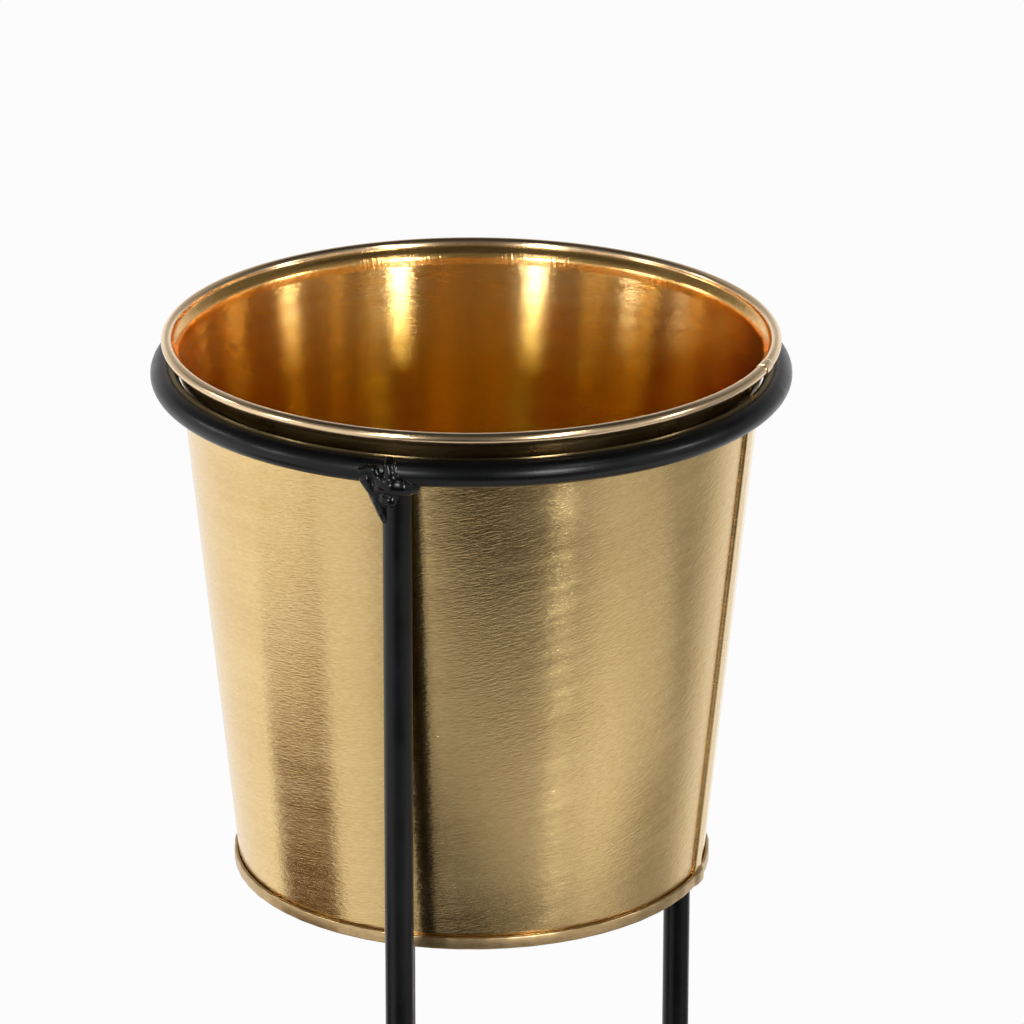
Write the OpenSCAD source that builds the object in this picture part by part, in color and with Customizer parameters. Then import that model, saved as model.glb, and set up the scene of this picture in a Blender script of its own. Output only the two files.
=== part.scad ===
// Plant stand with three pots at three heights.
// Three rings stand close together in plan, each carried by three rods.
// Where two rings are neighbours they share a rod: it ends under the higher
// ring and is welded to the outside of the lower one on its way down.
// Each ring holds a tapered sheet-metal pot that lifts straight out.
// Origin: middle of the footprint, on the floor, +Z up, highest ring towards -Y.

/* [Stand] */
// Height of the highest ring's middle above the floor
top_ring_h = 772; // [640:1:900]
// Height of the middle ring's middle above the floor
mid_ring_h = 522; // [400:1:620]
// Height of the lowest ring's middle above the floor
low_ring_h = 272; // [170:1:380]
// Diameter of the rod that the rings are bent from
ring_rod_d = 6; // [4:0.5:8]
// Diameter of the straight rods
leg_rod_d = 6; // [4:0.5:8]
// Turn of each ring's own outer rod about that ring, in degrees
outer_leg_turn = 2.3; // [-10:0.1:10]
// How far below a ring's middle the coped end of a rod starts
cope_drop = 1.2; // [0.8:0.1:1.8]

/* [Pot] */
// Diameter over the rolled rim
pot_d = 132; // [120:1:170]
// Height from the bottom seam to the top of the rolled rim
pot_h = 120.7; // [90:0.1:160]
// Diameter over the bottom seam
base_d = 104; // [84:1:112]
// Thickness of the pot's sheet
sheet = 0.5; // [0.3:0.05:0.7]
// Diameter of the rolled rim
bead_d = 2.4; // [2:0.1:3.4]
// Height of the flared neck, up to the middle of the rolled rim
neck_h = 3; // [2:0.1:3.6]
// How far the wall, without its neck, stands inside the rolled rim
neck_in = 0.8; // [0:0.05:1.2]
// Gap between the rolled rim and the ring that holds the pot
rim_gap = 3; // [2.5:0.1:12]

/* [Lock seam] */
// Direction of the top pot's seam, in degrees from +X
top_seam_angle = -2.5; // [-180:0.5:180]
// Direction of the middle pot's seam
mid_seam_angle = 118; // [-180:0.5:180]
// Direction of the low pot's seam
low_seam_angle = -161; // [-180:0.5:180]
// Width of the folded seam
seam_w = 4.8; // [3:0.1:8]
// How far the folded seam stands proud of the wall
seam_proud = 0.7; // [0.4:0.05:1]
// What is left of it where it is pressed flat behind the ring
seam_flat = 0.08; // [0.05:0.01:0.12]
// How far the rolled rim is swollen where its ends lap
lap_swell = 0.2; // [0.1:0.05:0.4]

/* [Bottom seam] */
// Height of the rolled seam round the bottom
band_h = 2.8; // [2:0.1:5]
// Radial thickness of the rolled seam
band_t = 0.8; // [0.6:0.05:1.2]
// Height of the pot's floor above the seam's lower edge
floor_rise = 2.2; // [1.5:0.1:6]

/* [Foot caps] */
// Height of a foot cap
foot_h = 14; // [8:1:25]
// Wall of a foot cap
foot_wall = 1.3; // [0.8:0.1:3]
// Thickness under the rod's end
foot_sole = 2.5; // [1.5:0.1:5]
// Radius of a foot cap's rounded edges
foot_round = 0.8; // [0.3:0.1:1]

/* [Welds] */
// Radius of the weld lumps under a ring
weld_r = 1.9; // [1.4:0.1:2.4]
// Radius of the weld lumps beside a ring
side_weld_r = 1.8; // [1.4:0.1:2.2]
// Radius of the weld lumps over a ring's butt joint
butt_weld_r = 1.3; // [0.8:0.1:1.8]
// Gap between a ring and a rod that passes it, which the weld bridges
side_gap = 0.1; // [0.05:0.05:0.3]

/* [Clearances] */
// Gap between the pot's wall and the inside of its ring
seat_gap = 0.3; // [0.15:0.05:0.5]
// Gap between the base and the wall inside the bottom seam
seam_fit = 0.1; // [0.05:0.01:0.15]
// Gap between a rod and the bore of its foot cap
foot_fit = 0.1; // [0.05:0.05:0.2]

/* [Hidden] */
$fn = 128;

black = "#1b1c1f";
brass = "#c9a15f";
dark_brass = "#9a7840";

// Indexes of the three places
top = 0;
mid = 1;
low = 2;

// The pot's wall, measured up from the pot's lower edge
bead_r = bead_d / 2;
rim_z = pot_h - bead_r;
bead_mid_r = pot_d / 2 - bead_r;
bead_in_r = pot_d / 2 - bead_d;
cone_top_r = bead_in_r - neck_in;
band_proud = band_t + seam_fit;
cone_base_r = base_d / 2 - band_proud;
cone_slope = (cone_top_r - cone_base_r) / (rim_z - band_h);
neck_z = rim_z - neck_h;
wall_foot_z = sheet + seam_fit;

// Outer radius of the wall's cone at height z
function wall_r(z) = cone_base_r + cone_slope * (z - band_h);
// Outer radius of the flared neck at height z
function neck_r(z) = wall_r(neck_z)
    + (bead_in_r + sheet - wall_r(neck_z)) * (z - neck_z) / neck_h;

// The rings and rods in plan
ring_rod_r = ring_rod_d / 2;
leg_r = leg_rod_d / 2;
ring_z = rim_z - bead_r - rim_gap - ring_rod_r;
ring_r = wall_r(ring_z) + seat_gap + ring_rod_r;
leg_axis_r = ring_r + max(0, leg_r - ring_rod_r);
side_axis_r = ring_r + ring_rod_r + side_gap + leg_r;
spacing = leg_axis_r + side_axis_r;

// The foot caps
foot_bore_r = leg_r + foot_fit;
foot_r = foot_bore_r + foot_wall;

// The middle of the footprint, found from its front and rear edges
outer_leg_reach = leg_axis_r * cos(outer_leg_turn);
front_reach = max(
    ring_r + ring_rod_r,
    outer_leg_reach + foot_r,
    outer_leg_reach + leg_r + weld_r
);
rear_reach = ring_r + ring_rod_r;
centre_r = spacing / sqrt(3);
middle_y = (centre_r + front_reach - centre_r / 2 - rear_reach) / 2;

ring_h = [top_ring_h, mid_ring_h, low_ring_h];
ring_dir = [-90, 30, 150];
seam_angle = [top_seam_angle, mid_seam_angle, low_seam_angle];

function unit(angle) = [cos(angle), sin(angle)];
function ring_centre(i) = centre_r * unit(ring_dir[i]) + [0, middle_y];
function heading(from, to) = atan2(to[1] - from[1], to[0] - from[0]);
function outer_dir(i) = ring_dir[i] + outer_leg_turn;
function shared_dir(i, j) = heading(ring_centre(i), ring_centre(j));
function leg_place(i, angle) = ring_centre(i) + leg_axis_r * unit(angle);

// Shared shapes

module at_ring(i) {
    translate([ring_centre(i)[0], ring_centre(i)[1], ring_h[i]])
        children();
}

module at_pot(i) {
    at_ring(i)
        translate([0, 0, -ring_z])
            children();
}

module ring_bar() {
    rotate_extrude($fn = 720)
        translate([ring_r, 0])
            circle(r = ring_rod_r);
}

module ring(i) {
    color(black)
        at_ring(i)
            ring_bar();
}

// A rod from its foot cap up to the underside of ring i, coped to the ring
module leg(i, angle) {
    place = leg_place(i, angle);
    color(black)
        difference() {
            translate([place[0], place[1], foot_sole])
                cylinder(r = leg_r, h = ring_h[i] - cope_drop - foot_sole);
            at_ring(i)
                ring_bar();
        }
}

// Lumps of weld round the outer half of a rod's coped end, about the rod's axis
module under_lumps() {
    collar_r = 0.97 * leg_r;
    collar_z = -1.13 * ring_rod_r;
    lift = 0.17 * ring_rod_r;
    for (turn = [-73 : 38 : 79])
        translate([collar_r * cos(turn), collar_r * sin(turn), collar_z + lift * cos(turn)])
            sphere(r = weld_r);
}

// Two lumps that ran down the rod below them
module run_lumps() {
    run_out = 1.07 * leg_r;
    run_z = -1.87 * ring_rod_r;
    for (turn = [-38, 21])
        translate([run_out * cos(turn), run_out * sin(turn), run_z])
            sphere(r = 0.66 * weld_r);
}

// Lumps of weld over the outside of a ring's butt joint, about the bar's middle
module butt_lumps() {
    out = 0.95 * ring_rod_r;
    aside = 0.03 * ring_rod_r;
    for (round = [-2, 30, 70])
        translate([out * cos(round), aside, out * sin(round)])
            sphere(r = butt_weld_r);
}

// Weld at the end of a rod under a ring, with the rod towards +X
module weld_under(over_butt) {
    difference() {
        translate([leg_axis_r, 0, 0]) {
            under_lumps();
            run_lumps();
            if (over_butt)
                translate([ring_r - leg_axis_r, 0, 0])
                    butt_lumps();
        }
        ring_bar();
        translate([leg_axis_r, 0, -cope_drop - 10 * leg_r])
            cylinder(r = leg_r, h = 10 * leg_r);
    }
}

// Weld all round the point where a rod passes a ring, with the rod towards +X
module weld_beside() {
    reach = 1.5 * side_weld_r;
    difference() {
        translate([ring_r + ring_rod_r + side_gap / 2, 0, 0])
            for (turn = [10 : 60 : 310])
                translate([0, reach * cos(turn), reach * sin(turn)])
                    sphere(r = side_weld_r);
        ring_bar();
        translate([side_axis_r, 0, -5 * leg_r])
            cylinder(r = leg_r, h = 10 * leg_r);
    }
}

// Soft plastic cap on the lower end of a rod
module foot(i, angle) {
    place = leg_place(i, angle);
    color(black)
        translate([place[0], place[1], 0])
            rotate_extrude()
                difference() {
                    union() {
                        square([foot_r - foot_round, foot_h]);
                        translate([0, foot_round])
                            square([foot_r, foot_h - 2 * foot_round]);
                        for (z = [foot_round, foot_h - foot_round])
                            translate([foot_r - foot_round, z])
                                circle(r = foot_round);
                    }
                    translate([0, foot_sole])
                        square([foot_bore_r, foot_h]);
                }
}

// Section of the tapered sheet with its flared neck and curled rim
module wall_section() {
    wall_top = wall_r(neck_z);
    wall_foot = wall_r(wall_foot_z);
    polygon([
        [wall_foot - sheet, wall_foot_z],
        [wall_foot, wall_foot_z],
        [wall_top, neck_z],
        [bead_in_r + sheet, rim_z],
        [bead_in_r, rim_z],
        [wall_top - sheet, neck_z]
    ]);
    translate([bead_mid_r, rim_z])
        difference() {
            circle(r = bead_r);
            circle(r = bead_r - sheet);
            // the curl stops short of the neck
            polygon([
                [0, 0],
                2 * bead_r * unit(205),
                2 * bead_r * unit(235)
            ]);
        }
}

// Side view of the lock seam: proud of the wall, but pressed flat at the ring
module seam_profile() {
    corner_rise = norm([wall_r(ring_z), seam_w / 2]) - wall_r(ring_z);
    relief = (seam_proud - seam_flat + corner_rise) / cone_slope;
    low_z = max(band_h + seam_w, ring_z - relief);
    flat_z = (low_z + ring_z) / 2;
    lift_z = ring_z + ring_rod_r / 2;
    high_z = ring_z + ring_rod_r;
    end_z = rim_z - bead_r / 2;
    polygon([
        [wall_r(band_h) - sheet / 2, band_h + seam_fit],
        [wall_r(band_h) + seam_proud, band_h + seam_fit],
        [wall_r(low_z) + seam_proud, low_z],
        [wall_r(flat_z) + seam_flat, flat_z],
        [wall_r(lift_z) + seam_flat, lift_z],
        [wall_r(high_z) + seam_proud, high_z],
        [wall_r(neck_z) + seam_proud, neck_z],
        [neck_r(end_z) + seam_proud, end_z],
        [neck_r(end_z) - sheet / 2, end_z],
        [wall_r(neck_z) - sheet / 2, neck_z]
    ]);
}

module lock_seam() {
    translate([0, seam_w / 2, 0])
        rotate([90, 0, 0])
            linear_extrude(height = seam_w)
                seam_profile();
}

// The rolled rim is a little thicker where its ends lap
module rim_lap() {
    intersection() {
        rotate_extrude()
            translate([bead_mid_r, rim_z])
                difference() {
                    circle(r = bead_r + lap_swell);
                    circle(r = bead_r - sheet / 2);
                }
        translate([0, -seam_w / 2, rim_z])
            cube([pot_d, seam_w, pot_h]);
    }
}

module pot_wall(i) {
    color(brass)
        at_pot(i) {
            rotate_extrude()
                wall_section();
            rotate([0, 0, seam_angle[i]]) {
                lock_seam();
                rim_lap();
            }
        }
}

// Floor, leg inside the wall, edge under it and seam rolled up round its outside
module pot_base(i) {
    hook_r = base_d / 2 - band_t / 2;
    inner_r = wall_r(wall_foot_z) - sheet - seam_fit;
    color(dark_brass)
        at_pot(i)
            rotate_extrude()
                union() {
                    // floor
                    translate([0, floor_rise])
                        square([inner_r, sheet]);
                    // leg that turns down from the floor inside the wall
                    translate([inner_r - sheet, 0])
                        square([sheet, floor_rise + sheet]);
                    // edge under the wall
                    translate([inner_r - sheet, 0])
                        square([hook_r - inner_r + sheet, sheet]);
                    // seam rolled up round the outside of the wall
                    translate([hook_r - band_t / 2, band_t / 2])
                        square([band_t, band_h - band_t]);
                    for (z = [band_t / 2, band_h - band_t / 2])
                        translate([hook_r, z])
                            circle(r = band_t / 2);
                }
}

module welds(under, beside, i) {
    color(black)
        at_ring(i) {
            for (angle = under)
                rotate([0, 0, angle])
                    weld_under(angle == outer_dir(i));
            for (angle = beside)
                rotate([0, 0, angle])
                    weld_beside();
        }
}

// Sub-parts

module ring_top() { ring(top); }
module ring_mid() { ring(mid); }
module ring_low() { ring(low); }

module leg_top_outer() { leg(top, outer_dir(top)); }
module leg_mid_outer() { leg(mid, outer_dir(mid)); }
module leg_low_outer() { leg(low, outer_dir(low)); }
module leg_top_mid() { leg(top, shared_dir(top, mid)); }
module leg_top_low() { leg(top, shared_dir(top, low)); }
module leg_mid_low() { leg(mid, shared_dir(mid, low)); }

module welds_top() {
    welds([outer_dir(top), shared_dir(top, mid), shared_dir(top, low)], [], top);
}
module welds_mid() {
    welds([outer_dir(mid), shared_dir(mid, low)], [shared_dir(mid, top)], mid);
}
module welds_low() {
    welds([outer_dir(low)], [shared_dir(low, top), shared_dir(low, mid)], low);
}

module foot_top_outer() { foot(top, outer_dir(top)); }
module foot_mid_outer() { foot(mid, outer_dir(mid)); }
module foot_low_outer() { foot(low, outer_dir(low)); }
module foot_top_mid() { foot(top, shared_dir(top, mid)); }
module foot_top_low() { foot(top, shared_dir(top, low)); }
module foot_mid_low() { foot(mid, shared_dir(mid, low)); }

module pot_top_wall() { pot_wall(top); }
module pot_mid_wall() { pot_wall(mid); }
module pot_low_wall() { pot_wall(low); }
module pot_top_base() { pot_base(top); }
module pot_mid_base() { pot_base(mid); }
module pot_low_base() { pot_base(low); }

ring_top();
ring_mid();
ring_low();
leg_top_outer();
leg_mid_outer();
leg_low_outer();
leg_top_mid();
leg_top_low();
leg_mid_low();
welds_top();
welds_mid();
welds_low();
foot_top_outer();
foot_mid_outer();
foot_low_outer();
foot_top_mid();
foot_top_low();
foot_mid_low();
pot_top_wall();
pot_mid_wall();
pot_low_wall();
pot_top_base();
pot_mid_base();
pot_low_base();
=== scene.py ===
# Looks of the three-pot plant stand: brushed brass pots in a black coated steel frame.
# Everything is in metres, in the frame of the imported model, where nothing else is said.

import math
import random

import bmesh
import bpy
import numpy as np
from mathutils import Matrix, Vector, noise


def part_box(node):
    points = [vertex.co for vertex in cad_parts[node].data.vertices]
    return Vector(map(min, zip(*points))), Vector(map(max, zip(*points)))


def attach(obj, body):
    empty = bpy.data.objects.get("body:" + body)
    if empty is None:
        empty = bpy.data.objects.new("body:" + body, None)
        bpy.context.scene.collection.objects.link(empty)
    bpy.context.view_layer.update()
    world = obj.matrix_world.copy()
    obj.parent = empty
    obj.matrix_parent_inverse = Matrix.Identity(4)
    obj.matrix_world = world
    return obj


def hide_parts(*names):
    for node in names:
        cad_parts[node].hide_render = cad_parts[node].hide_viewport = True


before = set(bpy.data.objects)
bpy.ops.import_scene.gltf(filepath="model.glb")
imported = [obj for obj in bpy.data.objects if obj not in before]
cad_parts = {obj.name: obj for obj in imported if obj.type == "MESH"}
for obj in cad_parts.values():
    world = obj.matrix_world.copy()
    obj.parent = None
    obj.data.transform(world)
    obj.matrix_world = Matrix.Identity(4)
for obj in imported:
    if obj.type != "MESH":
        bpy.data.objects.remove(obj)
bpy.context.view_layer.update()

MM = 0.001

# The pots, by the name of their place, with the direction of each lock seam in degrees
POTS = {"top": -2.5, "mid": 118.0, "low": -161.0}

# Sizes of a pot, in millimetres, measured up from its lower edge
POT_H = 120.7
SHEET = 0.5
BEAD_R = 1.2
NECK_H = 3.0
NECK_IN = 0.8
RIM_GAP = 3.0
BAND_H = 2.8
BAND_T = 0.8
FLOOR_RISE = 2.2
SEAM_FIT = 0.1
SEAM_W = 4.8
SEAM_PROUD = 0.7
SEAM_FLAT = 0.08
LAP_SWELL = 0.2

# The lock seam starts to go flat this far below the ring's middle, in millimetres
SEAM_RELIEF = 6.9

# Above this height, in millimetres, the outside of the wall is in the shade of ring and rim
SHADE_Z = 114.8

# Radii of the steel rods, in millimetres
RING_ROD_R = 3.0
LEG_R = 3.0

# View of the photograph
VIEW_AZIMUTH = math.radians(15.3)
VIEW_PITCH = math.radians(20.4)
VIEW_ROLL = math.radians(0.1)
VIEW_DISTANCE = 1.3
VIEW_ASIDE = 0.0087
VIEW_ABOVE = 0.0374
FOCAL_PX = 6110
IMAGE_PX = 1024
SENSOR_MM = 36


def pot_place(name):
    """Middle of a pot's lower edge, its rim radius and the radius of its foot, in metres."""
    base_lo, base_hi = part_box(f"pot_{name}_base")
    wall_lo, wall_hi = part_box(f"pot_{name}_wall")
    centre = (base_lo + base_hi) / 2
    reach = [wall_hi.x - centre.x, centre.x - wall_lo.x, wall_hi.y - centre.y, centre.y - wall_lo.y]
    base_r = (base_hi.x - base_lo.x) / 2
    place = Vector((centre.x, centre.y, base_lo.z))
    return place, min(reach), base_r


# Measures of a pot that follow from its sizes
TOP_PLACE, RIM_R, BASE_R = pot_place("top")
RIM_MM = RIM_R / MM
BASE_MM = BASE_R / MM
RIM_Z = POT_H - BEAD_R
BEAD_MID_R = RIM_MM - BEAD_R
BEAD_IN_R = RIM_MM - 2 * BEAD_R
CONE_FOOT_R = BASE_MM - BAND_T - SEAM_FIT
CONE_SLOPE = (BEAD_IN_R - NECK_IN - CONE_FOOT_R) / (RIM_Z - BAND_H)
CONE_ANGLE = math.atan(CONE_SLOPE)
NECK_Z = RIM_Z - NECK_H
WALL_FOOT_Z = SHEET + SEAM_FIT


def wall_r(z):
    """Outer radius of the wall at height z, in millimetres: a cone with a neck that flares into the rim."""
    cone = CONE_FOOT_R + CONE_SLOPE * (z - BAND_H)
    share = max(0.0, min(1.0, (z - NECK_Z) / NECK_H)) ** 1.5
    return cone + (NECK_IN + SHEET) * share * share * (3 - 2 * share)


# Camera

def view_axes():
    """Right, up and forward of the photograph's camera."""
    a, e = VIEW_AZIMUTH, VIEW_PITCH
    forward = Vector((-math.sin(a) * math.cos(e), math.cos(a) * math.cos(e), -math.sin(e)))
    right = Vector((math.cos(a), math.sin(a), 0))
    return right, right.cross(forward), forward


def make_camera():
    right, up, forward = view_axes()
    rim_middle = TOP_PLACE + Vector((0, 0, RIM_Z * MM))
    data = bpy.data.cameras.new("camera")
    data.sensor_width = SENSOR_MM
    data.lens = FOCAL_PX / IMAGE_PX * SENSOR_MM
    data.clip_start = 0.05
    data.clip_end = 50
    camera = bpy.data.objects.new("camera", data)
    camera.location = rim_middle + VIEW_ASIDE * right - VIEW_ABOVE * up - VIEW_DISTANCE * forward
    turn = Matrix((right, up, -forward)).transposed().to_4x4()
    camera.rotation_euler = (turn @ Matrix.Rotation(VIEW_ROLL, 4, "Z")).to_euler()
    bpy.context.scene.collection.objects.link(camera)
    bpy.context.scene.camera = camera


# Shader graphs

class Graph:
    """A node tree with short ways to add and join nodes."""

    def __init__(self, tree):
        self.tree = tree
        self.tree.nodes.clear()

    def add(self, kind, inputs=None, **settings):
        node = self.tree.nodes.new("ShaderNode" + kind)
        for name, value in settings.items():
            setattr(node, name, value)
        for name, value in (inputs or {}).items():
            self.put(node.inputs[name], value)
        return node

    def put(self, socket, value):
        if isinstance(value, bpy.types.NodeSocket):
            self.tree.links.new(value, socket)
        else:
            socket.default_value = value

    def math(self, operation, a, b):
        node = self.add("Math", operation=operation)
        self.put(node.inputs[0], a)
        self.put(node.inputs[1], b)
        return node.outputs[0]

    def vector(self, operation, a, b):
        node = self.add("VectorMath", operation=operation)
        self.put(node.inputs[0], a)
        self.put(node.inputs[1], b)
        return node.outputs[0]

    def blend(self, a, share_a, b, share_b):
        """Sum of two values, each times its share."""
        return self.math("ADD", self.math("MULTIPLY", a, share_a), self.math("MULTIPLY", b, share_b))

    def remap(self, value, low, high, to_low=0.0, to_high=1.0, kind="LINEAR"):
        node = self.add("MapRange", interpolation_type=kind)
        for socket, number in zip(node.inputs, (value, low, high, to_low, to_high)):
            self.put(socket, number)
        return node.outputs[0]

    def noise(self, vector, scale, detail=2.0, roughness=0.5, flat=False):
        node = self.add("TexNoise", noise_dimensions="2D" if flat else "3D")
        self.put(node.inputs["Vector"], vector)
        node.inputs["Scale"].default_value = scale
        node.inputs["Detail"].default_value = detail
        node.inputs["Roughness"].default_value = roughness
        return node.outputs["Fac"]

    def mix(self, factor, a, b):
        node = self.add("Mix", data_type="RGBA")
        self.put(node.inputs[0], factor)
        self.put(node.inputs[6], a)
        self.put(node.inputs[7], b)
        return node.outputs[2]

    def bump(self, height, depth, normal=None):
        node = self.add("Bump")
        node.inputs["Strength"].default_value = 1.0
        node.inputs["Distance"].default_value = depth
        self.put(node.inputs["Height"], height)
        if normal is not None:
            self.put(node.inputs["Normal"], normal)
        return node.outputs[0]


def new_material(name, shader_values):
    """A material with one Principled shader, and its graph."""
    material = bpy.data.materials.new(name)
    material.use_nodes = True
    graph = Graph(material.node_tree)
    shader = graph.add("BsdfPrincipled", shader_values)
    output = graph.add("OutputMaterial")
    graph.put(output.inputs["Surface"], shader.outputs[0])
    return material, graph, shader


def rgb(red, green, blue):
    return (red, green, blue, 1.0)


# Brass sheet

SHEET_UV = "sheet"

# Cells per metre of the layers of grain, along the brushing and across it
HAIR = (700, 3600, 1)
DASH = (430, 2000, 1)
SWEEP = (25, 420, 1)
CLOUD = (40, 70, 1)
CREASE = (1500, 130, 1)

# Painted bounce light: a deep orange tint that stands in for light reflected many times between the walls
# deep inside a pot, and the shares of the wall's height at which it starts and is full
PAINTED_BOUNCE_TINT = rgb(0.83, 0.48, 0.02)
PAINTED_BOUNCE_START = 0.92
PAINTED_BOUNCE_FULL = 0.74


def brushed_brass(name, light, deep, roughness, anisotropy, grain_depth, ticks=0.0, painted_bounce=0.0):
    """Brushed sheet: grain runs along the sheet's own straight direction, u.
    ticks is the depth of short creases across the grain, where the sheet was stretched.
    painted_bounce is how much painted bounce light, a deep orange tint standing in for light reflected
    between the walls, is painted in lower down, for the look of the photo."""
    values = {"Metallic": 1.0, "Anisotropic": anisotropy, "Anisotropic Rotation": 0.25}
    material, g, shader = new_material(name, values)
    uv = g.add("UVMap", uv_map=SHEET_UV).outputs[0]

    def layer(cells, detail, fineness):
        return g.noise(g.vector("MULTIPLY", uv, cells), 1.0, detail, fineness, flat=True)

    hair, dash = layer(HAIR, 2.0, 0.6), layer(DASH, 2.0, 0.5)
    sweep, cloud = layer(SWEEP, 2.0, 0.5), layer(CLOUD, 3.0, 0.55)
    normal = g.bump(g.blend(hair, 0.8, dash, 1.0), grain_depth)
    if ticks:
        normal = g.bump(layer(CREASE, 2.0, 0.6), ticks, normal)
    g.put(shader.inputs["Normal"], normal)
    tone = g.blend(g.blend(hair, 0.5, dash, 0.5), 0.6, g.math("ADD", sweep, cloud), 0.2)
    colour = g.mix(g.remap(tone, 0.38, 0.62), deep, light)
    # Painted bounce light: the inside turns deep orange lower down, in place of light reflected between the
    # walls
    if painted_bounce:
        rise = g.add("SeparateXYZ", {0: g.add("TexCoord").outputs["Generated"]}).outputs["Z"]
        colour = g.mix(g.remap(rise, PAINTED_BOUNCE_START, PAINTED_BOUNCE_FULL, 0.0, painted_bounce), colour, PAINTED_BOUNCE_TINT)
    g.put(shader.inputs["Base Color"], colour)
    patches = g.blend(cloud, 0.5, sweep, 0.5)
    g.put(shader.inputs["Roughness"], g.remap(patches, 0.3, 0.7, roughness - 0.03, roughness + 0.03))
    tangent = g.add("Tangent", direction_type="UV_MAP", uv_map=SHEET_UV).outputs[0]
    g.put(shader.inputs["Tangent"], tangent)
    return material


# Black coat and plastic

def black_coat(name, roughness, pit_depth):
    """Satin powder coat: a soft orange-peel skin with a few specks of dust in it."""
    material, g, shader = new_material(name, {"Specular IOR Level": 0.28})
    place = g.add("TexCoord").outputs["Object"]
    peel = g.noise(place, 900)
    speck = g.remap(g.noise(place, 1500, 0.0), 0.74, 0.82)
    wear = g.noise(place, 120, 4.0, 0.6)
    height = g.math("ADD", peel, g.math("MULTIPLY", speck, 1.6))
    g.put(shader.inputs["Normal"], g.bump(height, pit_depth))
    black, worn = rgb(0.0015, 0.0017, 0.002), rgb(0.003, 0.0034, 0.0038)
    g.put(shader.inputs["Base Color"], g.mix(g.remap(wear, 0.35, 0.75), black, worn))
    g.put(shader.inputs["Roughness"], g.remap(wear, 0.3, 0.7, roughness - 0.04, roughness + 0.05))
    return material


def black_plastic(name):
    """Matte moulded plastic with a fine spark-eroded skin."""
    material, g, shader = new_material(name, {"Specular IOR Level": 0.4})
    place = g.add("TexCoord").outputs["Object"]
    skin = g.noise(place, 2600, 3.0, 0.6)
    scuff = g.noise(place, 300, 3.0, 0.6)
    g.put(shader.inputs["Normal"], g.bump(skin, 0.00003))
    black, scuffed = rgb(0.009, 0.009, 0.0095), rgb(0.02, 0.02, 0.021)
    g.put(shader.inputs["Base Color"], g.mix(g.remap(scuff, 0.4, 0.7), black, scuffed))
    g.put(shader.inputs["Roughness"], g.remap(scuff, 0.3, 0.7, 0.55, 0.72))
    return material


# Meshes turned about a pot's axis

def add_piece(name, mesh, body, node):
    """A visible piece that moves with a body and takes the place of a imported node."""
    piece = bpy.data.objects.new(name, mesh)
    bpy.context.scene.collection.objects.link(piece)
    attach(piece, body)
    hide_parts(node)
    return piece


def arc(centre, radius, start, end, steps):
    """Points of an arc in the section plane, angles in degrees."""
    angles = np.radians(np.linspace(start, end, steps + 1))
    return [(centre[0] + radius * math.cos(a), centre[1] + radius * math.sin(a)) for a in angles]


def turned_mesh(name, place, points, columns, offset, uv):
    """Mesh of a section turned about a vertical axis.
    Columns are angles as functions of the radius, offset moves a point, uv gives its place in the sheet."""
    verts, uvs = [], []
    for point in points:
        for column in columns:
            r, z = offset(point, column)
            angle = column["angle"](point[0])
            x, y = r * MM * math.cos(angle), r * MM * math.sin(angle)
            verts.append((place.x + x, place.y + y, place.z + z * MM))
    rows, across = len(points), len(columns)
    faces = []
    for i in range(rows):
        for j in range(across):
            a, b = i * across + j, i * across + (j + 1) % across
            c, d = ((i + 1) % rows) * across + (j + 1) % across, ((i + 1) % rows) * across + j
            faces.append((a, b, c, d))
            for row, side in ((i, 0), (i, 1), (i + 1, 1), (i + 1, 0)):
                uvs.append(uv(row, j + side))
    mesh = bpy.data.meshes.new(name)
    mesh.from_pydata(verts, [], faces)
    layer = mesh.uv_layers.new(name=SHEET_UV)
    layer.data.foreach_set("uv", np.array(uvs, np.float32).ravel())
    mesh.update()
    mesh.set_sharp_from_angle(angle=math.radians(50))
    return mesh


# Wall of a pot

# Columns round the sheet, and the place across the lock seam of a column that isn't part of it
SHEET_STEPS = 360
AWAY = 100.0

# Height from which the rows on the wall's outside get closer, in millimetres
FINE_Z = 104

# The rows of the neck end this far below the middle of the curl, in millimetres
CURL_EASE = 0.15

# End of the curl, in degrees, which leaves a gap to the neck
CURL_END = -125

# The rim and the inner face take their grain from another part of the pattern, this far aside
INNER_GRAIN = 0.35

# Materials of the sheet, in the order of the mesh's slots
ZONES = ("outer", "bead", "neck", "inner", "shade")


def seam_columns():
    """Places across the lock seam, in millimetres from its middle, and how far each is proud (0 to 1)."""
    half = SEAM_W / 2
    left = [(-half - 0.9, 0), (-half - 0.55, 0), (-half - 0.42, -0.05), (-half - 0.36, -0.35)]
    left += [(-half - 0.1, -0.45), (-half, 0.3), (-half + 0.03, 0.8), (-half + 0.12, 0.95)]
    left += [(-half + 0.3, 1)]
    flat = [(x, 1 - 0.02 * abs(x)) for x in np.linspace(-half + 0.8, half - 0.9, 6)]
    right = [(half - 0.5, 0.93), (half - 0.25, 0.75), (half, 0.45), (half + 0.25, 0.18)]
    right += [(half + 0.5, 0.05)]
    return left + flat + right


def seam_rise(z):
    """How far the seam stands proud at height z: pressed flat behind the ring."""
    ring_z = RIM_Z - BEAD_R - RIM_GAP - RING_ROD_R
    low_z = ring_z - SEAM_RELIEF
    flat_z, lift_z, high_z = (low_z + ring_z) / 2, ring_z + RING_ROD_R / 2, ring_z + RING_ROD_R
    heights = [WALL_FOOT_Z, low_z, flat_z, lift_z, high_z, POT_H]
    rises = [SEAM_PROUD, SEAM_PROUD, SEAM_FLAT, SEAM_FLAT, SEAM_PROUD, SEAM_PROUD]
    return float(np.interp(z, heights, rises))


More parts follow.
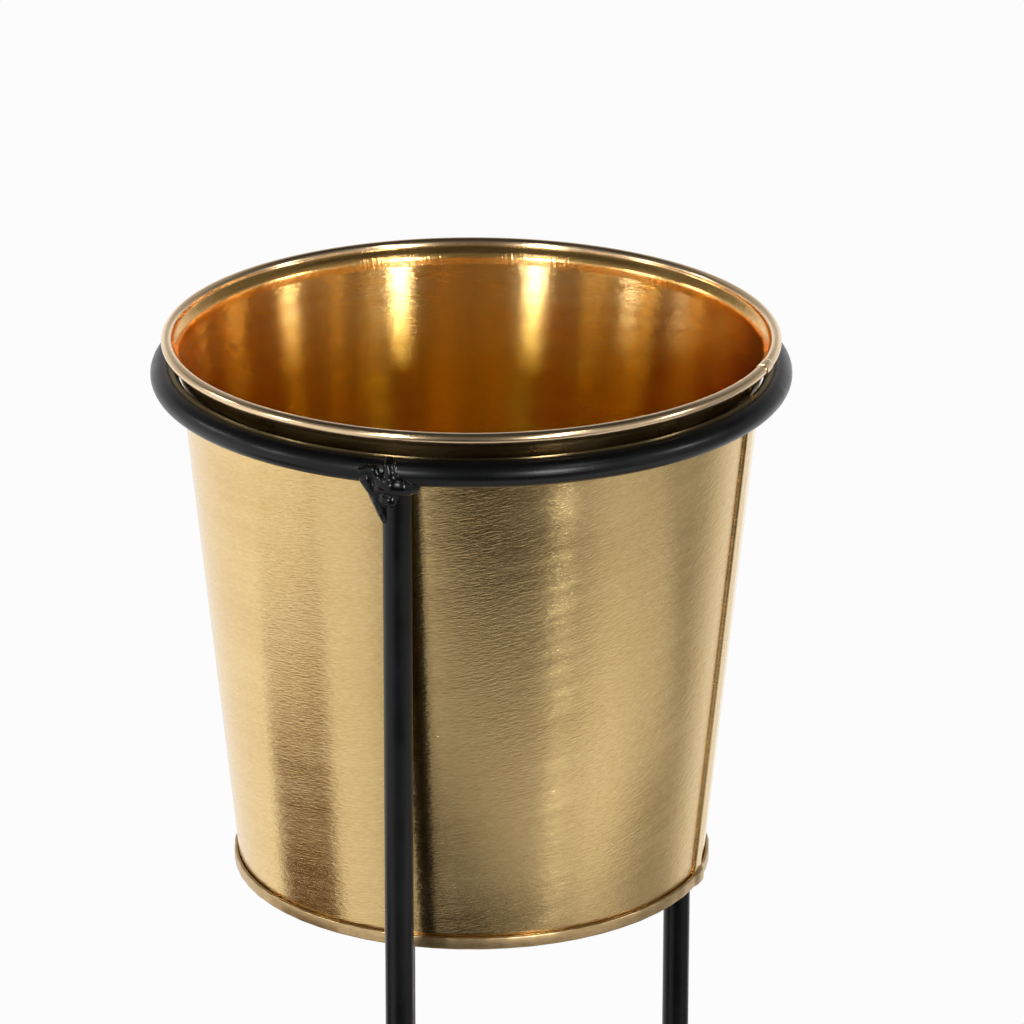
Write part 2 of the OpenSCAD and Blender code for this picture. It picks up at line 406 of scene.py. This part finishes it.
def wall_section():
    """Section of the sheet as (radius, height, side) points in a closed loop."""
    plain_z = list(np.linspace(WALL_FOOT_Z, FINE_Z, 18))
    fine_z = list(np.linspace(FINE_Z + 1, SHADE_Z, 11)) + [SHADE_Z + 0.8]
    neck_z = list(np.linspace(NECK_Z, RIM_Z - CURL_EASE, 14))
    inner_z = list(np.linspace(NECK_Z - 1, WALL_FOOT_Z, 22))
    curl = (BEAD_MID_R, RIM_Z)
    inside_curl = arc(curl, BEAD_R - SHEET, 180, CURL_END, 16)
    lip = arc(curl, BEAD_R - SHEET / 2, CURL_END - 4, CURL_END - 4, 0)
    bead = arc(curl, BEAD_R, CURL_END, 180, 30)
    points = [(wall_r(z), z, "outer") for z in plain_z + fine_z + neck_z]
    points += [(r, z, "curl") for r, z in inside_curl + lip]
    points += [(r, z, "bead") for r, z in bead]
    points += [(wall_r(z) - SHEET, z, "neck") for z in reversed(neck_z)]
    points += [(wall_r(z) - SHEET, z, "inner") for z in inner_z]
    return points


def path_lengths(points):
    """Distance along the sheet from its foot for each point, the same on both faces."""
    out, total = [], 0.0
    for i, (r, z, _) in enumerate(points):
        if i:
            total += math.hypot(r - points[i - 1][0], z - points[i - 1][1])
        out.append(total)
    turn = next(i for i, p in enumerate(points) if p[2] == "bead")
    far = out[turn]
    return [d if i < turn else max(2 * far - d, 0) for i, d in enumerate(out)]


def zone(point, following):
    """Which of the sheet's materials lies between a point of the section and the next one."""
    _, z, side = point
    if side == "outer" and z >= SHADE_Z:
        return "shade"
    if side in ZONES and following[2] != "outer":
        return side
    return "outer"


def pot_sheet(name, seam_degrees, materials):
    """The wall of a pot: tapered sheet with a curled rim and a folded lock seam."""
    place = pot_place(name)[0]
    points = wall_section()
    paths = path_lengths(points)
    seam = math.radians(seam_degrees)
    across = seam_columns()
    free_edge = across[-1][0] + 0.5
    near_edge = across[0][0]

    def round_wall(t):
        return lambda r: seam + free_edge / r + t * (2 * math.pi + (near_edge - free_edge) / r)

    def in_seam(s):
        return lambda r: seam + 2 * math.pi + s / r

    shares = np.linspace(0, 1, SHEET_STEPS + 1)[:-1]
    columns = [{"angle": round_wall(t), "rise": 0.0, "s": AWAY} for t in shares]
    columns += [{"angle": in_seam(s), "rise": rise, "s": s} for s, rise in across]

    def offset(point, column):
        r, z, side = point
        if side == "outer":
            return r + column["rise"] * seam_rise(z), z
        if side == "bead":
            swell = LAP_SWELL / BEAD_R if -SEAM_W / 2 < column["s"] < SEAM_W / 2 - 0.6 else 0
            return r + swell * (r - BEAD_MID_R), z + swell * (z - RIM_Z)
        return r, z

    apex = CONE_FOOT_R / math.sin(CONE_ANGLE)

    def uv(row, column):
        point = points[row % len(points)]
        wrap = 2 * math.pi if column == len(columns) else 0
        angle = columns[column % len(columns)]["angle"](point[0]) + wrap
        turn = (angle - seam - math.pi) * math.sin(CONE_ANGLE)
        reach = apex + paths[row % len(points)]
        aside = 0 if point[2] in ("outer", "curl") else INNER_GRAIN
        return reach * MM * math.sin(turn) + aside, reach * MM * math.cos(turn)

    mesh = turned_mesh(f"pot_{name}_sheet", place, points, columns, offset, uv)
    for zone_name in ZONES:
        mesh.materials.append(materials[zone_name])
    wide = len(columns)
    for i, point in enumerate(points):
        index = ZONES.index(zone(point, points[(i + 1) % len(points)]))
        for polygon in mesh.polygons[i * wide:(i + 1) * wide]:
            polygon.material_index = index
    return add_piece(f"pot_{name}_sheet", mesh, f"pot_{name}", f"pot_{name}_wall")


# Base of a pot

# Columns round the base, and radii of the rows of its floor, in millimetres
BASE_STEPS = 480
FLOOR_ROWS = (0.0, 20, 44)

# Bulge of the crimped seam over the lock seam, in millimetres: half its width, out and up
BULGE_HALF = 2.6
BULGE_OUT = 0.55
BULGE_UP = 0.12

# Ripples round the crimped seam: size in millimetres, waves per turn and start
RIPPLES = ((0.03, 61, 0.0), (0.025, 37, 1.2))

# The bulge and ripples fade in over this width of the seam's thickness, in millimetres
BAND_EASE = 0.3

# Inside this radius, in millimetres, the grain of the base isn't squeezed any further
GRAIN_LEAST_R = 5


def base_section():
    """Section of the base: floor, leg turned down inside the wall and seam rolled up outside it."""
    inner_r = wall_r(WALL_FOOT_Z) - SHEET - SEAM_FIT
    under_r = inner_r - SHEET
    outer_r = BASE_MM
    floor_z = FLOOR_RISE + SHEET
    corner, under_corner, foot_corner = 0.9, 0.5, 0.3
    tip = BAND_T / 2
    points = [(r, floor_z) for r in FLOOR_ROWS]
    points += arc((inner_r - corner, floor_z - corner), corner, 90, 0, 4)
    points += [(inner_r, 0.75), (inner_r + 0.15, SHEET), (outer_r - BAND_T, SHEET)]
    points += arc((outer_r - tip, BAND_H - tip), tip, 180, 0, 8)
    points += [(outer_r + 0.02, BAND_H / 2)]
    points += arc((outer_r - tip, tip), tip, 0, -90, 5)
    points += [(inner_r, 0.0)]
    points += arc((under_r + foot_corner, foot_corner), foot_corner, -90, -180, 3)
    points += [(under_r, 1.4)]
    points += arc((under_r - under_corner, FLOOR_RISE - under_corner), under_corner, 0, 90, 3)
    points += [(r, FLOOR_RISE) for r in reversed(FLOOR_ROWS)]
    return [(r, z, "base") for r, z in points]


def pot_bottom(name, seam_degrees, material):
    """The base of a pot, with the crimped seam pushed out where it runs over the lock seam."""
    place = pot_place(name)[0]
    points = base_section()
    seam = math.radians(seam_degrees)
    columns = []
    for step in range(BASE_STEPS):
        turn = 2 * math.pi * step / BASE_STEPS
        bulge = math.exp(-(min(turn, 2 * math.pi - turn) * BASE_MM / BULGE_HALF) ** 4)
        columns.append({"angle": lambda r, turn=turn: seam + turn, "bulge": bulge, "turn": turn})

    def offset(point, column):
        r, z, _ = point
        outside = max(0.0, min(1.0, (r - BASE_MM + BAND_T) / BAND_EASE))
        ripple = sum(size * math.sin(waves * column["turn"] + start) for size, waves, start in RIPPLES)
        lift = BULGE_UP * outside * column["bulge"] * (z > BAND_H / 2)
        return r + outside * (BULGE_OUT * column["bulge"] + ripple), z + lift

    def uv(row, column):
        r, z, _ = points[row % len(points)]
        return 2 * math.pi * column / BASE_STEPS * max(r, GRAIN_LEAST_R) * MM, (r + z) * MM

    mesh = turned_mesh(f"pot_{name}_bottom", place, points, columns, offset, uv)
    bm = bmesh.new()
    bm.from_mesh(mesh)
    bmesh.ops.remove_doubles(bm, verts=bm.verts, dist=1e-7)
    bm.to_mesh(mesh)
    bm.free()
    mesh.materials.append(material)
    return add_piece(f"pot_{name}_bottom", mesh, f"pot_{name}", f"pot_{name}_base")


# Welds

# Joints of each ring: rods that end under it, and rods that pass beside it
UNDER = {"top": ["top_outer", "top_mid", "top_low"], "mid": ["mid_outer", "mid_low"], "low": ["low_outer"]}
BESIDE = {"top": [], "mid": ["top_mid"], "low": ["top_low", "mid_low"]}

# Runs of weld metal at the front joint, each as lumps of (aside, out, up, radius) in millimetres from the
# middle of the ring's bar, joined into one smooth run
FRONT_RUNS = [
    # web between the ring's underside and the rod's left side
    [
        (-5.8, 0.9, -1.6, 2.0), (-4.0, 0.9, -4.0, 2.1), (-2.9, 0.9, -6.8, 2.0), (-1.6, 0.9, -9.8, 1.8),
    ],
    # hood over the rod's end
    [
        (-1.8, 1.7, -1.8, 2.5), (-0.4, 1.9, -2.3, 2.7), (1.0, 1.6, -2.6, 2.5), (2.4, 1.0, -2.8, 2.1),
        (3.7, 0.6, -3.0, 1.5),
    ],
    # button under the hood
    [
        (-1.5, 2.4, -5.4, 1.6), (-0.7, 2.5, -5.6, 1.6),
    ],
    # lump on top of the ring, running down into the hood
    [
        (-1.2, 1.5, 2.3, 1.2), (-0.9, 2.2, 1.5, 1.5), (-0.7, 2.3, 0.2, 1.7), (-0.8, 2.2, -1.4, 2.0),
    ],
    # rim of the crater at the left
    [
        (-7.0, 2.4, 0.2, 0.8), (-5.4, 2.5, 0.9, 1.0), (-4.0, 2.6, 0.5, 1.1), (-3.3, 2.6, -1.2, 1.1),
        (-2.9, 2.5, -3.2, 1.1),
    ],
]

# Spacing of the lumps along a run, and of those along bar and rod, in millimetres
RUN_STEP = 0.3
COVER_STEP = 0.4

# The lumps along bar and rod stay this far under its skin, in millimetres
COVER_DEPTH = 0.06

# Reach of the lumps down and up the rod at each kind of joint, and along the bar, in millimetres
FRONT_REACH = (11, -3)
UNDER_REACH = (8, -3)
BESIDE_REACH = (6, 6)
BAR_REACH = 9

# Collar of weld round a rod's end and the drops that ran from it, in millimetres from the bar's middle
COLLAR_ASIDE = 2.6
COLLAR_OUT = 2.4
COLLAR_Z = -3.2
COLLAR_LIFT = 0.9
DROP_OUT = 2.8
DROP_R = 1.1
DROP_CHANCE = 0.3

# Weld in the hollows beside a passing rod, in millimetres: how far aside and how far up and down
HOLLOW_ASIDE = 2.0
HOLLOW_UP = 2.3

# Melting of the lumps into one skin, and the ripples on it, in millimetres
WELD_VOXEL = 0.22
WELD_SMOOTH = 8
RIPPLE_SIZE = 0.12
RIPPLE_SINK = 0.01


def run_lumps(run):
    """Lumps along a run, close enough to melt into one smooth form."""
    lumps = []
    for start, end in zip(run, run[1:]):
        steps = max(1, round(math.dist(start[:3], end[:3]) / RUN_STEP))
        for i in range(steps):
            lumps.append(tuple(a + (b - a) * i / steps for a, b in zip(start, end)))
    return lumps + [run[-1]]


def bar_lumps(bar_r, half):
    """Lumps along the ring's bar, just under its skin, for the weld to flow onto."""
    lumps = []
    for aside in np.arange(-half, half + COVER_STEP / 4, COVER_STEP):
        turn = aside / bar_r
        place = (bar_r * math.sin(turn), bar_r * (math.cos(turn) - 1), 0.0)
        lumps.append(place + (RING_ROD_R - COVER_DEPTH,))
    return lumps


def leg_lumps(gap, length_down, length_up):
    """Lumps along the rod, just under its skin."""
    heights = np.arange(-length_down, length_up, COVER_STEP)
    return [(0.0, gap, up, LEG_R - COVER_DEPTH) for up in heights]


def under_lumps(dice):
    """Weld round the outer half of a rod's end under a ring."""
    run, drops = [], []
    for turn in range(-80, 85, 16):
        a = math.radians(turn + dice.uniform(-4, 4))
        low = COLLAR_Z + COLLAR_LIFT * math.cos(a) + dice.uniform(-0.5, 0.3)
        place = (COLLAR_ASIDE * math.sin(a), COLLAR_OUT * math.cos(a), low)
        run.append(place + (dice.uniform(1.4, 2.0),))
        if dice.random() < DROP_CHANCE:
            end = low - dice.uniform(1.6, 3.0)
            tip = (DROP_OUT * math.sin(a), DROP_OUT * math.cos(a), end, dice.uniform(0.6, 0.9))
            drops.append([place + (DROP_R,), tip])
    return [lump for part in [run] + drops for lump in run_lumps(part)]


def beside_lumps(dice, gap):
    """Weld in the hollows between a ring and a rod that passes outside it."""
    lumps = []
    for side in (-1, 1):
        run = []
        for up in (-2.6, -1.3, 0, 1.3, 2.6):
            out = gap / 2 + dice.uniform(-0.25, 0.25)
            aside = side * (HOLLOW_ASIDE + dice.uniform(-0.2, 0.3))
            run.append((aside, out, up, dice.uniform(1.1, 1.5)))
        lumps += run_lumps(run)
    for side in (-1, 1):
        run = []
        for aside in (-2.0, -0.7, 0.7, 2.0):
            up = side * (HOLLOW_UP + dice.uniform(-0.2, 0.4))
            run.append((aside, gap / 2 - 0.3, up, dice.uniform(1.1, 1.5)))
        lumps += run_lumps(run)
    return lumps


def ring_spot(ring, leg):
    """Middle of a ring's bar beside a rod and the direction outward there, in metres.
    After them how far outside the bar the rod runs, and the radius of the bar's circle, in millimetres."""
    lo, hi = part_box(f"ring_{ring}")
    centre = (lo + hi) / 2
    leg_lo, leg_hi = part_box(f"leg_{leg}")
    out = (leg_lo + leg_hi) / 2 - centre
    out.z = 0
    bar_r = (hi.x - lo.x) / 2 - RING_ROD_R * MM
    reach = out.length
    out.normalize()
    return centre + bar_r * out, out, (reach - bar_r) / MM, bar_r / MM


def ball(detail):
    """Points and faces of a ball of radius 1."""
    bm = bmesh.new()
    bmesh.ops.create_icosphere(bm, subdivisions=detail, radius=1.0)
    points = np.array([v.co for v in bm.verts])
    faces = np.array([[v.index for v in f.verts] for f in bm.faces])
    bm.free()
    return points, faces


FINE_BALL = ball(3)
PLAIN_BALL = ball(2)


def balls_mesh(groups):
    """One mesh of many balls; each group is a list of lumps and the ball to use."""
    points, faces, count = [], [], 0
    for lumps, (ball_points, ball_faces) in groups:
        for aside, outward, up, radius in lumps:
            points.append(ball_points * radius + (aside, outward, up))
            faces.append(ball_faces + count)
            count += len(ball_points)
    mesh = bpy.data.meshes.new("raw_weld")
    mesh.from_pydata(np.concatenate(points), [], np.concatenate(faces))
    return mesh


def weld_mesh(name, spot, out, lumps, cover, seed):
    """One weld: lumps melted together with a little of the bar and rod, then slightly rippled."""
    rough = bpy.data.objects.new(name, balls_mesh([(lumps, FINE_BALL), (cover, PLAIN_BALL)]))
    bpy.context.scene.collection.objects.link(rough)
    melt = rough.modifiers.new("melt", "REMESH")
    melt.mode = "VOXEL"
    melt.voxel_size = WELD_VOXEL
    flow = rough.modifiers.new("flow", "SMOOTH")
    flow.factor = 0.5
    flow.iterations = WELD_SMOOTH
    depsgraph = bpy.context.evaluated_depsgraph_get()
    mesh = bpy.data.meshes.new_from_object(rough.evaluated_get(depsgraph))
    bpy.data.objects.remove(rough)
    right = Vector((-out.y, out.x, 0))
    shift = Vector((seed * 7.3, seed * 3.1, 0))
    normals = [v.normal.copy() for v in mesh.vertices]
    for vert, normal in zip(mesh.vertices, normals):
        at = vert.co + normal * (noise.noise(vert.co * 0.7 + shift) * RIPPLE_SIZE - RIPPLE_SINK)
        vert.co = spot + (right * at.x + out * at.y + Vector((0, 0, at.z))) * MM
    mesh.update()
    mesh.shade_smooth()
    return mesh


def weld_lumps(ring, leg, dice, gap):
    """Lumps of one joint's weld metal, and those along the rod under it."""
    if leg == "top_outer":
        return [lump for run in FRONT_RUNS for lump in run_lumps(run)], leg_lumps(0, *FRONT_REACH)
    if leg in UNDER[ring]:
        return under_lumps(dice), leg_lumps(0, *UNDER_REACH)
    return beside_lumps(dice, gap), leg_lumps(gap, *BESIDE_REACH)


def make_welds(ring, material):
    """All welds of one ring, as one piece."""
    bm = bmesh.new()
    for seed, leg in enumerate(UNDER[ring] + BESIDE[ring], 1):
        dice = random.Random(f"{ring} {leg}")
        spot, out, gap, bar_r = ring_spot(ring, leg)
        lumps, cover = weld_lumps(ring, leg, dice, gap)
        cover += bar_lumps(bar_r, BAR_REACH)
        mesh = weld_mesh(f"weld_{leg}", spot, out, lumps, cover, seed)
        bm.from_mesh(mesh)
        bpy.data.meshes.remove(mesh)
    whole = bpy.data.meshes.new(f"weld_beads_{ring}")
    bm.to_mesh(whole)
    bm.free()
    whole.materials.append(material)
    whole.shade_smooth()
    return add_piece(f"weld_beads_{ring}", whole, "stand", f"welds_{ring}")


# Studio

# White of the backdrop as the camera sees it
WHITE = 0.975

# Lamps round the object: name, degrees right of the camera, elevation, width, height, radiance
LAMPS = [
    ("lamp_right", 28, 8, 0.17, 0.42, 50),
    ("lamp_left", -28, 9, 0.16, 0.4, 44),
    ("high_right", 38, 36, 0.12, 0.5, 9),
    ("high_left", -31, 38, 0.1, 0.5, 8),
    ("side_right", 78, 11, 0.2, 0.25, 18),
    ("side_left", -71, 11, 0.15, 0.25, 16),
    ("rear_left", -101, 14, 0.26, 0.2, 10),
]
LAMP_DISTANCE = 1.7

# The lamps aim at this height above the top pot's lower edge
LAMP_AIM = 0.06

# Flat lamp close below the top pot, like light thrown up from a table
GLOW_RIGHT = 33
GLOW_ELEVATION = -30
GLOW_DISTANCE = 0.165
GLOW_WIDTH = 0.36
GLOW_DEPTH = 0.08
GLOW_RADIANCE = 0.4

# Brightness of the surroundings in three bands of height, by degrees to the right of the camera
LOW_RING = [
    (-180, 1.1), (-130, 1.2), (-110, 1.15), (-95, 1.1), (-80, 1.0), (-69, 0.88), (-56, 0.86), (-43, 0.78),
    (-30, 0.22), (-17, 0.0), (0, 0.0), (15, 0.04), (28, 0.1), (42, 0.13), (54, 0.46), (66, 0.58), (82, 0.36),
    (99, 0.28), (112, 0.3), (124, 0.6), (140, 1.1), (160, 1.25), (180, 1.1),
]
MIDDLE_RING = [
    (-180, 1.2), (-155, 1.1), (-130, 0.4), (-100, 0.8), (-75, 0.95), (-60, 0.9), (-45, 0.7), (-30, 0.3),
    (-15, 0.08), (0, 0.06), (15, 0.12), (30, 0.3), (45, 0.5), (60, 0.65), (75, 0.55), (100, 0.35),
    (130, 0.3), (155, 1.1), (180, 1.2),
]
UPPER_RING = [
    (-180, 0.45), (-150, 0.4), (-120, 0.1), (-90, 0.15), (-60, 0.22), (-30, 0.15), (0, 0.1), (30, 0.15),
    (60, 0.25), (90, 0.12), (120, 0.1), (150, 0.35), (180, 0.45),
]
ZENITH = 0.04

# Where one band gives way to the next, as the upward part of the direction
LOW_TO_MIDDLE = (-0.3, -0.02)
MIDDLE_TO_UPPER = (0.16, 0.36)
UPPER_TO_ZENITH = (0.6, 0.8)

# Floor: radius, where it fades out, how far it lies below the feet, its grey and its own share of white
FLOOR_R = 1.2
FLOOR_FADE = (0.35, 1.1)
FLOOR_DROP = 0.0002
FLOOR_GREY = 0.8
FLOOR_GLOW = 0.55

# Brown card: degrees right of the camera, distance, half width, lower and upper edge
CARD_RIGHT = -82
CARD_DISTANCE = 0.28
CARD_HALF = 0.09
CARD_LOW = 0.40
CARD_HIGH = 0.57
CARD_BROWN = rgb(0.09, 0.028, 0.002)


def towards(degrees_right, elevation):
    """Direction from the object, measured to the right of the photograph's camera."""
    angle = VIEW_AZIMUTH - math.pi / 2 + math.radians(degrees_right)
    e = math.radians(elevation)
    return Vector((math.cos(angle) * math.cos(e), math.sin(angle) * math.cos(e), math.sin(e)))


def area_light(name, degrees_right, elevation, distance, width, height, radiance):
    data = bpy.data.lights.new(name, "AREA")
    data.shape = "RECTANGLE"
    data.size = width
    data.size_y = height
    data.energy = radiance * math.pi * width * height
    lamp = bpy.data.objects.new(name, data)
    aim = TOP_PLACE + Vector((0, 0, LAMP_AIM))
    direction = towards(degrees_right, elevation)
    lamp.location = aim + direction * distance
    lamp.rotation_euler = (-direction).to_track_quat("-Z", "Y").to_euler()
    lamp.visible_camera = False
    bpy.context.scene.collection.objects.link(lamp)
    return lamp


def make_lights():
    for name, degrees_right, elevation, width, height, radiance in LAMPS:
        area_light(name, degrees_right, elevation, LAMP_DISTANCE, width, height, radiance)
    place = (GLOW_RIGHT, GLOW_ELEVATION, GLOW_DISTANCE)
    glow = area_light("table_glow", *place, GLOW_WIDTH, GLOW_DEPTH, GLOW_RADIANCE)
    glow.rotation_euler = (math.pi, 0, VIEW_AZIMUTH + math.radians(GLOW_RIGHT))


def ring_ramp(g, share, stops):
    """Brightness by share of a turn, 0.5 being the camera's side."""
    ramp = g.add("ValToRGB")
    ramp.color_ramp.interpolation = "B_SPLINE"
    elements = ramp.color_ramp.elements
    while len(elements) < len(stops):
        elements.new(0.5)
    for element, (degrees, value) in zip(elements, stops):
        element.position = degrees / 360 + 0.5
        element.color = (value, value, value, 1)
    g.put(ramp.inputs[0], share)
    return ramp.outputs[0]


def make_world():
    world = bpy.data.worlds.new("studio")
    world.use_nodes = True
    bpy.context.scene.world = world
    g = Graph(world.node_tree)
    ray = g.add("TexCoord").outputs["Generated"]
    to_camera = {"Vector": ray, "Angle": math.pi / 2 - VIEW_AZIMUTH}
    turned = g.add("VectorRotate", to_camera, rotation_type="Z_AXIS")
    parts = g.add("SeparateXYZ", {0: turned.outputs[0]})
    angle = g.math("ARCTAN2", parts.outputs["Y"], parts.outputs["X"])
    share = g.math("ADD", g.math("DIVIDE", angle, 2 * math.pi), 0.5)
    low, middle, upper = [ring_ramp(g, share, stops) for stops in (LOW_RING, MIDDLE_RING, UPPER_RING)]
    rise = parts.outputs["Z"]
    studio = g.mix(g.remap(rise, *LOW_TO_MIDDLE, kind="SMOOTHSTEP"), low, middle)
    studio = g.mix(g.remap(rise, *MIDDLE_TO_UPPER, kind="SMOOTHSTEP"), studio, upper)
    studio = g.mix(g.remap(rise, *UPPER_TO_ZENITH, kind="SMOOTHSTEP"), studio, rgb(ZENITH, ZENITH, ZENITH))
    seen = g.add("LightPath").outputs["Is Camera Ray"]
    colour = g.mix(seen, studio, rgb(WHITE, WHITE, WHITE))
    background = g.add("Background", {"Color": colour, "Strength": 1.0})
    output = g.add("OutputWorld")
    g.put(output.inputs["Surface"], background.outputs[0])


def make_floor():
    """Pale floor that fades into the white surroundings and keeps the shadow."""
    mesh = bpy.data.meshes.new("floor")
    bm = bmesh.new()
    bmesh.ops.create_circle(bm, cap_ends=True, segments=96, radius=FLOOR_R)
    bm.to_mesh(mesh)
    bm.free()
    floor = bpy.data.objects.new("floor", mesh)
    floor.location.z = -FLOOR_DROP
    bpy.context.scene.collection.objects.link(floor)
    material = bpy.data.materials.new("floor")
    material.use_nodes = True
    g = Graph(material.node_tree)
    place = g.add("TexCoord").outputs["Object"]
    radius = g.add("VectorMath", {0: place}, operation="LENGTH").outputs["Value"]
    fade = g.remap(radius, *FLOOR_FADE, 1.0, 0.0, kind="SMOOTHERSTEP")
    diffuse = g.add("BsdfDiffuse", {"Color": rgb(FLOOR_GREY, FLOOR_GREY, FLOOR_GREY)})
    glow = g.add("Emission", {"Color": rgb(WHITE, WHITE, WHITE), "Strength": 1.0})
    shown = g.math("MULTIPLY", g.add("LightPath").outputs["Is Camera Ray"], FLOOR_GLOW)
    own = g.add("MixShader", {0: shown, 1: diffuse.outputs[0], 2: glow.outputs[0]})
    clear = g.add("BsdfTransparent")
    whole = g.add("MixShader", {0: fade, 1: clear.outputs[0], 2: own.outputs[0]})
    output = g.add("OutputMaterial")
    g.put(output.inputs["Surface"], whole.outputs[0])
    mesh.materials.append(material)


def make_brown_card():
    """Something brass-brown low down at the left, which shows only as a reflection."""
    mesh = bpy.data.meshes.new("brown_card")
    out = towards(CARD_RIGHT, 0)
    aside = Vector((-out.y, out.x, 0))
    middle = Vector((TOP_PLACE.x, TOP_PLACE.y, 0)) + CARD_DISTANCE * out
    corners = [(-1, CARD_LOW), (1, CARD_LOW), (1, CARD_HIGH), (-1, CARD_HIGH)]
    verts = [middle + side * CARD_HALF * aside + Vector((0, 0, z)) for side, z in corners]
    mesh.from_pydata(verts, [], [(0, 1, 2, 3)])
    card = bpy.data.objects.new("brown_card", mesh)
    bpy.context.scene.collection.objects.link(card)
    material = bpy.data.materials.new("brown_card")
    material.use_nodes = True
    g = Graph(material.node_tree)
    glow = g.add("Emission", {"Color": CARD_BROWN, "Strength": 1.0})
    output = g.add("OutputMaterial")
    g.put(output.inputs["Surface"], glow.outputs[0])
    mesh.materials.append(material)
    card.visible_camera = False
    card.visible_shadow = False
    card.visible_diffuse = False


# Assembly

make_camera()
make_world()
make_lights()
make_floor()
make_brown_card()

light, deep = rgb(0.87, 0.625, 0.285), rgb(0.75, 0.515, 0.215)
# Painted bounce light: the inside's brass is a brighter, warmer copy of the outside's, for light reflected
# between the walls
inside_bright_painted_bounce, inside_deep_painted_bounce = rgb(0.93, 0.67, 0.29), rgb(0.86, 0.58, 0.21)
# Painted light: the neck under the rim is a brighter, warmer copy of the brass, standing in for light the
# neck doesn't get
neck_bright_painted_light, neck_deep_painted_light = rgb(0.98, 0.61, 0.23), rgb(0.88, 0.5, 0.15)
# Painted sheen: the curled rim is a paler, creamier copy of the brass, standing in for the bright
# reflections on the curl
rim_bright_painted_sheen, rim_deep_painted_sheen = rgb(0.90, 0.68, 0.42), rgb(0.84, 0.60, 0.35)
base_light, base_deep = rgb(0.66, 0.47, 0.24), rgb(0.50, 0.34, 0.16)

sheet_brass = {
    "outer": brushed_brass("brushed_brass", light, deep, 0.18, 0.92, 0.00004),
    # The rim's brass carries painted sheen in its colours
    "bead": brushed_brass("rim_brass_painted_sheen", rim_bright_painted_sheen, rim_deep_painted_sheen, 0.22, 0.5, 0.000004),
    # The neck's brass carries painted light in its colours
    "neck": brushed_brass("neck_brass_painted_light", neck_bright_painted_light, neck_deep_painted_light, 0.2, 0.6, 0.00002, ticks=0.00004),
    # The inside's brass is a brighter copy with painted bounce light, tinted deep orange lower down
    "inner": brushed_brass("inside_brass_painted_bounce", inside_bright_painted_bounce, inside_deep_painted_bounce, 0.21, 1.0, 0.000028, painted_bounce=0.95),
    "shade": brushed_brass("shade_brass", light, deep, 0.16, 0.6, 0.00001, ticks=0.00001),
}
base_brass = brushed_brass("base_brass", base_light, base_deep, 0.34, 0.4, 0.00001)
coat = black_coat("black_coat", 0.3, 0.000008)
weld_coat = black_coat("weld_coat", 0.22, 0.00001)
plastic = black_plastic("black_plastic")

for node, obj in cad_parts.items():
    if node.startswith("foot"):
        obj.material_slots[0].material = plastic
    elif node.startswith(("ring", "leg")):
        obj.material_slots[0].material = coat

for pot, seam_degrees in POTS.items():
    pot_sheet(pot, seam_degrees, sheet_brass)
    pot_bottom(pot, seam_degrees, base_brass)

for ring in UNDER:
    make_welds(ring, weld_coat)

# Light goes to and fro between the walls inside a pot many times
scene = bpy.context.scene
scene.cycles.glossy_bounces = 10
scene.view_settings.view_transform = "Standard"
